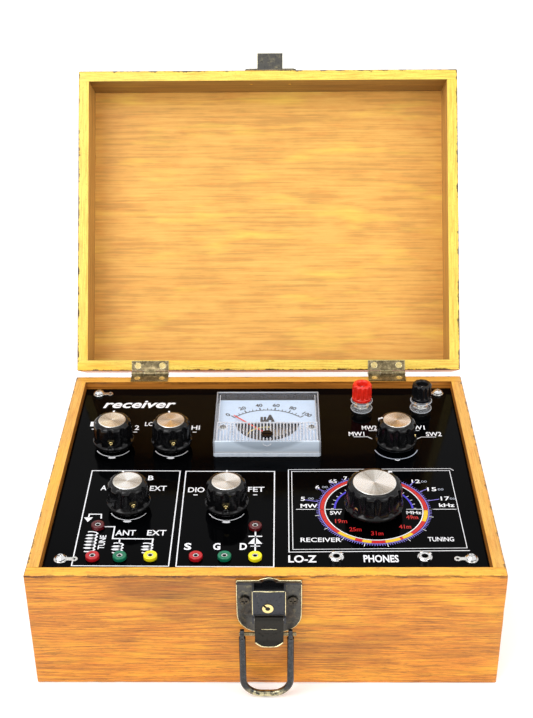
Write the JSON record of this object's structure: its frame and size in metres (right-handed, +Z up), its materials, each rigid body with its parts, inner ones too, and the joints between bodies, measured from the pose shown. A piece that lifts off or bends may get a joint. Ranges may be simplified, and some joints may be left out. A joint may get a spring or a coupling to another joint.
{
  "type": "crystal radio set",
  "caption": "Hinged wooden case with a draw latch and a glossy black control panel carrying a needle meter, rotary knobs, a tuning dial, sockets, binding posts and phone jacks.",
  "frame": {"origin": "centre of the case's flat underside", "axes": "+Z up; +Y from the latch side to the hinge side; +X to the right seen from the latch side"},
  "size_m": [0.25, 0.3524, 0.2529],
  "materials": {
    "case_wood": "stained pine, satin varnish",
    "lid_wood": "stained pine, satin varnish",
    "lid_lining": "thin veneered board, satin",
    "raw_pine": "unfinished",
    "panel": "printed black laminate, high gloss",
    "antique_bronze": "blackened brass, worn to bright edges",
    "bright_brass": "polished",
    "screw_steel": "bright plated",
    "pin_steel": "plain",
    "knob_plastic": "moulded, glossy",
    "knob_disc": "radially turned",
    "meter_black": "moulded",
    "clear_plastic": "clear polystyrene",
    "dial_white": "matt white, printed scale",
    "magnet": "black oxide",
    "copper": "enamelled copper wire",
    "needle_red": "red lacquer",
    "red_plastic": "moulded",
    "green_plastic": "moulded",
    "yellow_plastic": "moulded",
    "black_plastic": "moulded",
    "nickel": "nickel plated",
    "aluminium_plate": "sheet",
    "ferrite": "sintered, matt",
    "board_green": "laminate",
    "switch_brown": "moulded phenolic"
  },
  "bodies": {
    "case": {"case_front_board": "case_wood", "case_back_board": "case_wood", "case_side_boards": "case_wood", "case_bottom_panel": "case_wood", "panel_cleats": "raw_pine", "control_panel": "panel", "panel_screws": "screw_steel", "solder_lugs": "screw_steel", "hinge_leaves_case": "antique_bronze", "pivot_pins": "pin_steel", "latch_backplate": "antique_bronze", "case_screws": "antique_bronze", "meter_housing": "meter_black", "meter_cover": "clear_plastic", "meter_dial": "dial_white", "meter_magnet": "magnet", "binding_post_studs": "nickel", "binding_post_collars": "clear_plastic", "phone_jacks": "nickel", "red_socket_bushes": "red_plastic", "green_socket_bushes": "green_plastic", "yellow_socket_bushes": "yellow_plastic", "socket_sleeves": "nickel", "switch_bodies": "switch_brown", "capacitor_frame": "aluminium_plate", "capacitor_stator": "aluminium_plate", "ferrite_rod": "ferrite", "antenna_coils": "copper", "detector_board": "board_green"},
    "lid": {"lid_front_board": "lid_wood", "lid_back_board": "lid_wood", "lid_side_boards": "lid_wood", "lid_top_panel": "lid_lining", "hinge_leaves_lid": "antique_bronze", "lid_screws": "bright_brass", "lid_catch": "antique_bronze"},
    "lock": {"lock_cylinder": "bright_brass"},
    "lever": {"latch_lever": "antique_bronze", "bail_pin": "antique_bronze"},
    "bail": {"latch_bail": "antique_bronze"},
    "meter_movement": {"meter_coil": "copper", "meter_pointer": "needle_red"},
    "zero_screw": {"meter_zero_screw": "meter_black"},
    "red_insert": {"red_post_insert": "bright_brass"},
    "red_cap": {"red_post_cap": "red_plastic"},
    "black_insert": {"black_post_insert": "bright_brass"},
    "black_cap": {"black_post_cap": "black_plastic"},
    "tuning": {"tuning_knob": "knob_plastic", "tuning_knob_cap": "knob_disc", "tuning_rotor": "aluminium_plate"},
    "meter_range_control": {"meter_range_knob": "knob_plastic", "meter_range_knob_spindle": "knob_disc"},
    "load_control": {"load_knob": "knob_plastic", "load_knob_spindle": "knob_disc"},
    "coupling_control": {"coupling_knob": "knob_plastic", "coupling_knob_spindle": "knob_disc"},
    "detector_control": {"detector_knob": "knob_plastic", "detector_knob_spindle": "knob_disc"},
    "band_control": {"band_knob": "knob_plastic", "band_knob_spindle": "knob_disc"}
  },
  "joints": [
    {"name": "lid_hinge", "type": "hinge", "parent": "case", "child": "lid", "pos_m": [0, 0.1012, 0.07605], "axis": [-1, 0, 0], "range_deg": [-123.04, 0]},
    {"name": "latch_lever_pivot", "type": "hinge", "parent": "case", "child": "lever", "pos_m": [0.002, -0.1087, 0.0545], "axis": [-1, 0, 0], "range_deg": [0, 110]},
    {"name": "latch_bail_swing", "type": "hinge", "parent": "lever", "child": "bail", "pos_m": [0.0005, -0.109, 0.0447], "axis": [1, 0, 0], "range_deg": [-183.4, 0]},
    {"name": "lock_barrel_turn", "type": "hinge", "parent": "case", "child": "lock", "pos_m": [0.0014, -0.108, 0.0614], "axis": [0, -1, 0], "range_deg": [0, 90]},
    {"name": "meter_pointer_swing", "type": "hinge", "parent": "case", "child": "meter_movement", "pos_m": [0, 0.0274, 0.0782], "axis": [0, 0, -1], "range_deg": [0, 90], "stiffness_Nm_per_rad": 0.00002},
    {"name": "meter_zero_turn", "type": "hinge", "parent": "case", "child": "zero_screw", "pos_m": [0, 0.0229, 0.081], "axis": [0, 0, -1], "range_deg": [-60, 60]},
    {"name": "tuning_turn", "type": "hinge", "parent": "case", "child": "tuning", "pos_m": [0.0598, -0.0376, 0.08], "axis": [0, 0, 1], "range_deg": [-48, 132]},
    {"name": "red_cap_lift", "type": "slide", "parent": "case", "child": "red_insert", "axis": [0, 0, 1], "range_m": [0, 0.0035]},
    {"name": "red_cap_turn", "type": "hinge", "parent": "red_insert", "child": "red_cap", "pos_m": [0.059, 0.0675, 0.08], "axis": [0, 0, 1], "range_deg": [0, 1800]},
    {"name": "black_cap_lift", "type": "slide", "parent": "case", "child": "black_insert", "axis": [0, 0, 1], "range_m": [0, 0.0035]},
    {"name": "black_cap_turn", "type": "hinge", "parent": "black_insert", "child": "black_cap", "pos_m": [0.0962, 0.0675, 0.08], "axis": [0, 0, 1], "range_deg": [0, 1800]},
    {"name": "meter_range_switch_turn", "type": "hinge", "parent": "case", "child": "meter_range_control", "pos_m": [-0.0924, 0.0262, 0.08], "axis": [0, 0, 1], "range_deg": [-30, 30]},
    {"name": "load_switch_turn", "type": "hinge", "parent": "case", "child": "load_control", "pos_m": [-0.0573, 0.0258, 0.08], "axis": [0, 0, 1], "range_deg": [-20, 40]},
    {"name": "coupling_switch_turn", "type": "hinge", "parent": "case", "child": "coupling_control", "pos_m": [-0.0768, -0.0352, 0.08], "axis": [0, 0, 1], "range_deg": [-50, 40]},
    {"name": "detector_switch_turn", "type": "hinge", "parent": "case", "child": "detector_control", "pos_m": [-0.022, -0.0358, 0.08], "axis": [0, 0, 1], "range_deg": [-30, 30]},
    {"name": "band_switch_turn", "type": "hinge", "parent": "case", "child": "band_control", "pos_m": [0.0772, 0.0255, 0.08], "axis": [0, 0, 1], "range_deg": [-150, 0]}
  ],
  "couplings": [
    {"joint": "red_cap_turn", "follows": "red_cap_lift", "rad_per_m": 8976},
    {"joint": "black_cap_turn", "follows": "black_cap_lift", "rad_per_m": 8976}
  ]
}
